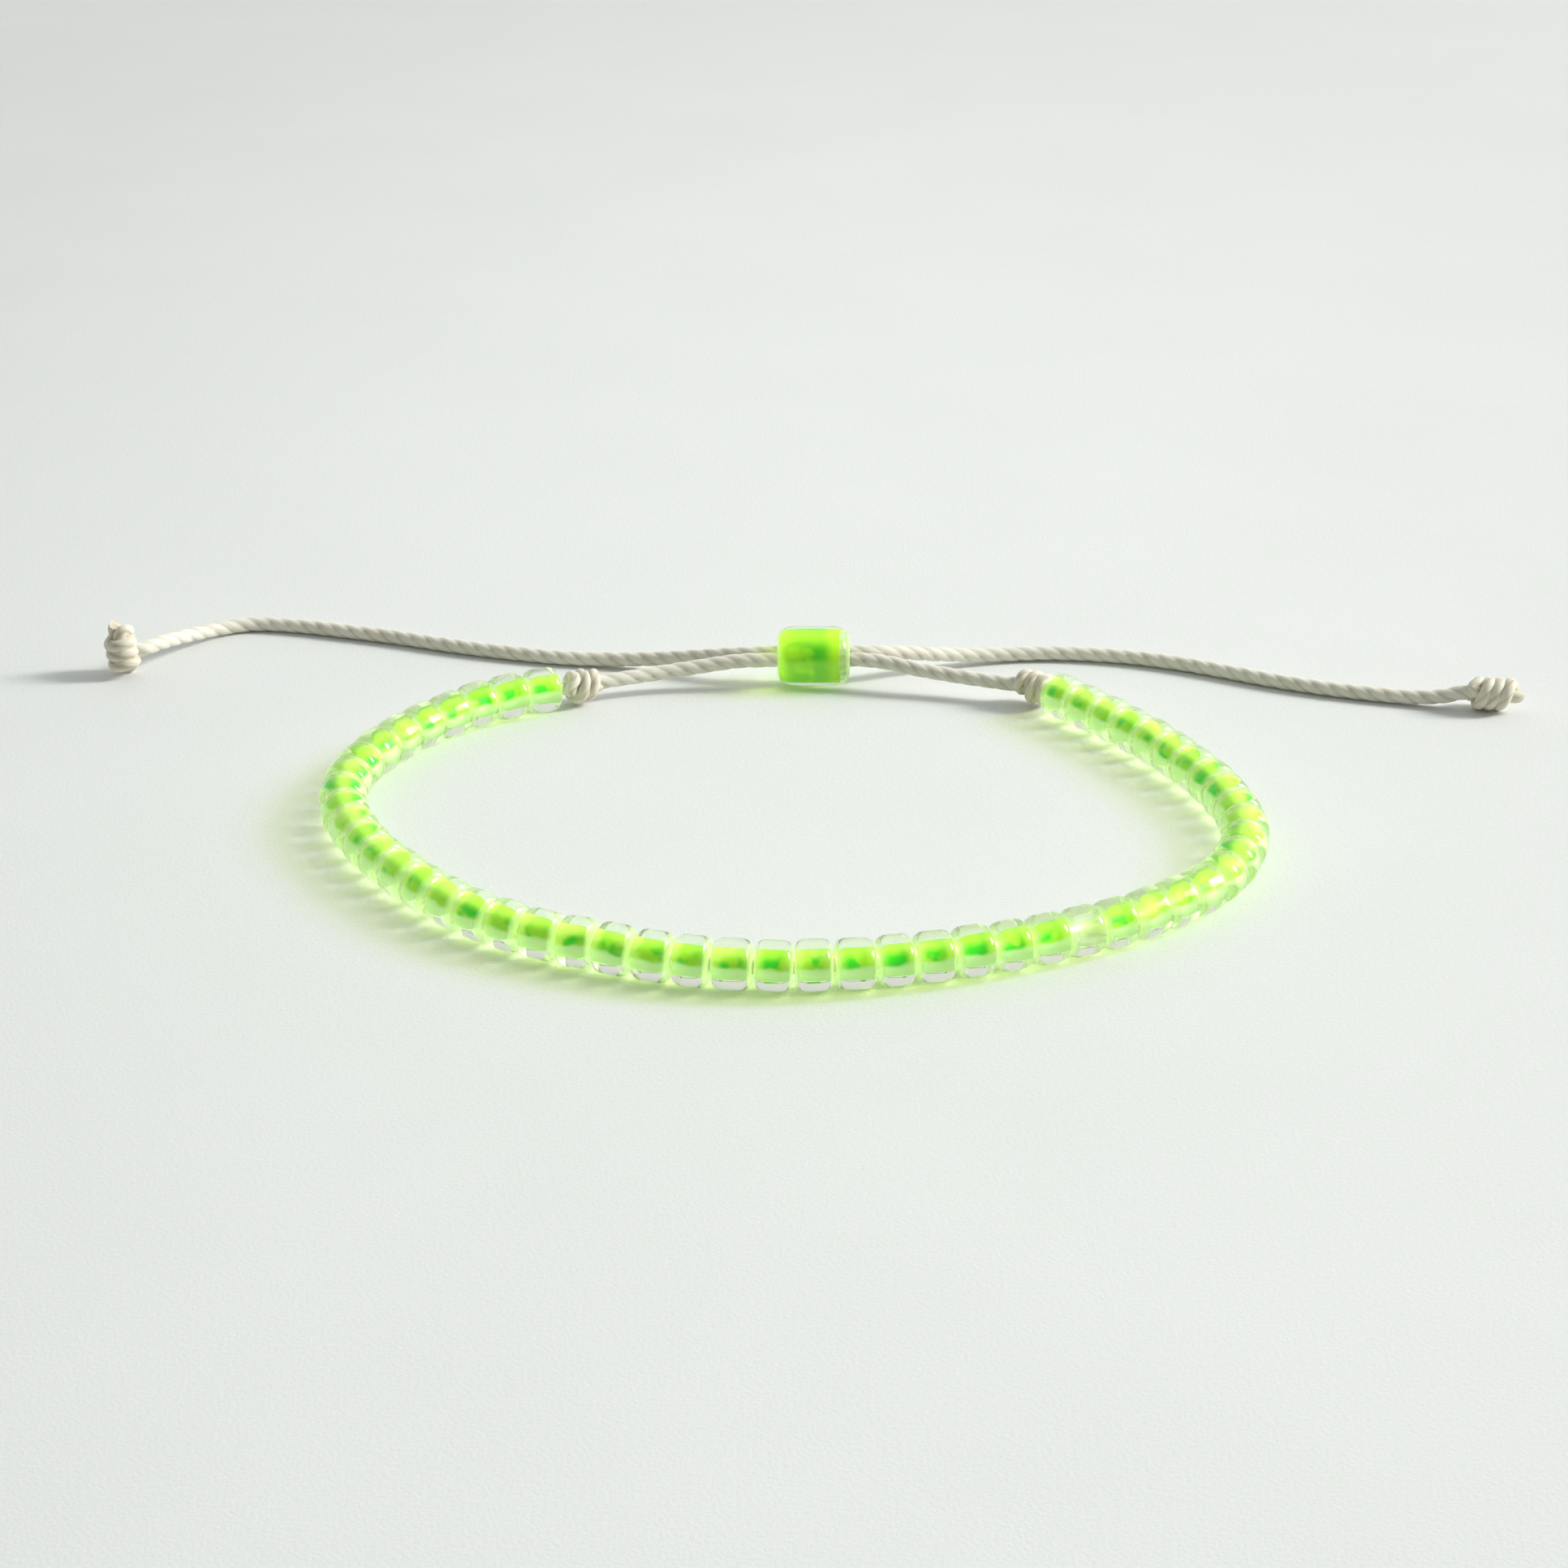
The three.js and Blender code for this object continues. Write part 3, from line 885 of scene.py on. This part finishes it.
# %% [markdown]
# Now that glass and dye have their finish, the run is made: two halves that meet at the front, as
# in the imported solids, so that each solid is replaced by its own beads.

# %% The bead run
make_half("left", range(BEADS // 2))
make_half("right", range(BEADS // 2, BEADS))

# %% [markdown]
# The sliding bead is a larger bead of the same kind, wide enough inside for two cords side by side.
# It is out of focus in the photograph, where it shows as one deep green glassy block whose colour
# ends a little short of the right end, so its dye lies a little to the left.

# %% The sliding bead
SLIDER_RADIUS = 2.05 * MM
SLIDER_BORE = 1.2 * MM
SLIDER_SQUARENESS = 4.5
SLIDER_DYE_SHIFT = -0.3 * MM
SLIDER_SIDES = 48

outline = outline_of(SLIDER_HALF, SLIDER_RADIUS, SLIDER_BORE, SLIDER_SQUARENESS)
points, _ = turned_points(outline, np.array(SLIDER_MIDDLE), (1, 0, 0), SLIDER_SIDES)
faces = ring_faces(OUTLINE_STEPS, SLIDER_SIDES, closed=True)
slider = make_piece("sliding_bead", points, faces, "slider_glass", slider_clear_glass, ["slider_bead"])
ends = end_share(outline, SLIDER_HALF, SLIDER_RADIUS, SLIDER_SQUARENESS)
remember(slider, "end_face", "FLOAT", np.repeat(ends, SLIDER_SIDES))
wall = dyed_wall(SLIDER_HALF, SLIDER_BORE, shift=SLIDER_DYE_SHIFT)
points, facing = turned_points(wall, np.array(SLIDER_MIDDLE), (1, 0, 0), SLIDER_SIDES)
faces = ring_faces(2 * WALL_STEPS, SLIDER_SIDES, closed=True)
lining = make_piece("sliding_bead_lining", points, faces, "slider_glass", slider_dye)
remember(lining, "facing_up", "FLOAT", facing)
remember(lining, "endwards", "FLOAT", wall_ends(SLIDER_SIDES))
remember(lining, "paleness", "FLOAT", np.zeros(len(facing)))
print(f"sliding bead: {2 * SLIDER_HALF / MM:.1f} mm long, {2 * SLIDER_RADIUS / MM:.1f} mm across")

# %% [markdown]
# The bracelet lies on matt white paper, whose colour is painted a little darker away from the
# middle, a painted shade for the light falling off there. Its edges lie far off, so the views from the
# sides show only paper and room.

# %% The table
TABLE_HALF = 4.0
TABLE_TOP = -0.02 * MM
LIT_OVAL = (1.0, 0.45, 0.0)
OVAL_SHIFT = (0.0, -9 * MM, 0.0)
FAR_OUT = 130 * MM
PAINTED_FALL_OFF = 0.16

finish = Finish(bpy.data.materials.new("white paper"))
place = finish.place()
grain = finish.noise(place, 4.5, 3.0)
mottle = finish.noise(place, 0.05, 2.0)
scaled = {"Vector": place, 1: LIT_OVAL, 2: OVAL_SHIFT}
from_middle = finish.node("ShaderNodeVectorMath", {"operation": "MULTIPLY_ADD"}, scaled)
away = finish.node("ShaderNodeVectorMath", {"operation": "LENGTH"}, {"Vector": from_middle}, "Value")
tone_and_painted_falloff = finish.blend(mottle * 0.4 + grain * 0.6, (0.70, 0.715, 0.70), (0.80, 0.815, 0.80))
# Painted shade: the paper's colour darkens away from the middle, standing for the light's fall-off
tone_and_painted_falloff = finish.blend(finish.steps(away, 0.0, FAR_OUT) * PAINTED_FALL_OFF, tone_and_painted_falloff, (0.0, 0.0, 0.0))
inputs = {"Base Color": tone_and_painted_falloff, "Roughness": 0.75, "Normal": finish.bump(grain, 0.05 * MM, 0.4)}
paper = finish.finished(finish.node("ShaderNodeBsdfPrincipled", {}, inputs))

corners = [(-1, -1), (1, -1), (1, 1), (-1, 1)]
mesh = bpy.data.meshes.new("table")
mesh.from_pydata([(x * TABLE_HALF, y * TABLE_HALF, TABLE_TOP) for x, y in corners], [], [(0, 1, 2, 3)])
mesh.materials.append(paper)
table = bpy.data.objects.new("table", mesh)
scene.collection.objects.link(table)
table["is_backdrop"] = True
print("table:", paper.name)

# %% [markdown]
# Daylight comes from a window on the right, slightly behind. The lamp that stands for it is small,
# so that the shadows keep the beads' shapes. The rest of a bright room fills them. The room is a
# soft gradient by direction, because the glass shows it, with a bright patch round the window that
# widens the glints.

# %% The light
KEY_WIDTH = 0.16
KEY_HEIGHT = 0.36
KEY_POWER = 11.5
KEY_PLACE = (0.97, 0.17, 0.58)
ROOM_DARKEST = 0.24
ROOM_RISE = 0.56
GLINT = 5.0

world = Finish(bpy.data.worlds.new("room"))
direction = world.node("ShaderNodeTexCoord", {}, {}, "Generated")
up = world.node("ShaderNodeSeparateXYZ", {}, {"Vector": direction}, "Z")
back = world.node("ShaderNodeSeparateXYZ", {}, {"Vector": direction}, "Y")
brightness = ROOM_DARKEST + world.steps(back + up * 0.15, -0.5, 0.6) * ROOM_RISE
both = {0: direction, 1: tuple(Vector(KEY_PLACE).normalized())}
towards = world.node("ShaderNodeVectorMath", {"operation": "DOT_PRODUCT"}, both, "Value")
brightness = brightness + world.steps(towards, 0.955, 0.98) * GLINT
tint = world.blend(world.steps(up, 0.2, 0.8), (1.0, 0.97, 0.975), (0.94, 1.0, 0.97))
backdrop = world.node("ShaderNodeBackground", {}, {"Color": tint, "Strength": brightness})
scene.world = world.finished(backdrop)

key = bpy.data.objects.new("window", bpy.data.lights.new("window", "AREA"))
key.data.shape = "RECTANGLE"
key.data.size = KEY_WIDTH
key.data.size_y = KEY_HEIGHT
key.data.energy = KEY_POWER
key.data.color = (1.0, 0.985, 0.96)
key.location = KEY_PLACE
key.rotation_euler = (-key.location).to_track_quat("-Z", "Y").to_euler()
scene.collection.objects.link(key)
scene.view_settings.view_transform = "Standard"
print(f"window: {KEY_POWER} W over {KEY_WIDTH} x {KEY_HEIGHT} m")

# %% [markdown]
# Last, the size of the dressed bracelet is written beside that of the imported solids, to compare.
# The bracelet isn't meant to grow when it is dressed.

# %% The sizes
visual_box = [list(corner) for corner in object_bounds()]
for name, (low, high) in (("solids", cad_box), ("dressed", visual_box)):
    print(name, " x ".join(f"{(b - a) / MM:.1f}" for a, b in zip(low, high)), "mm")
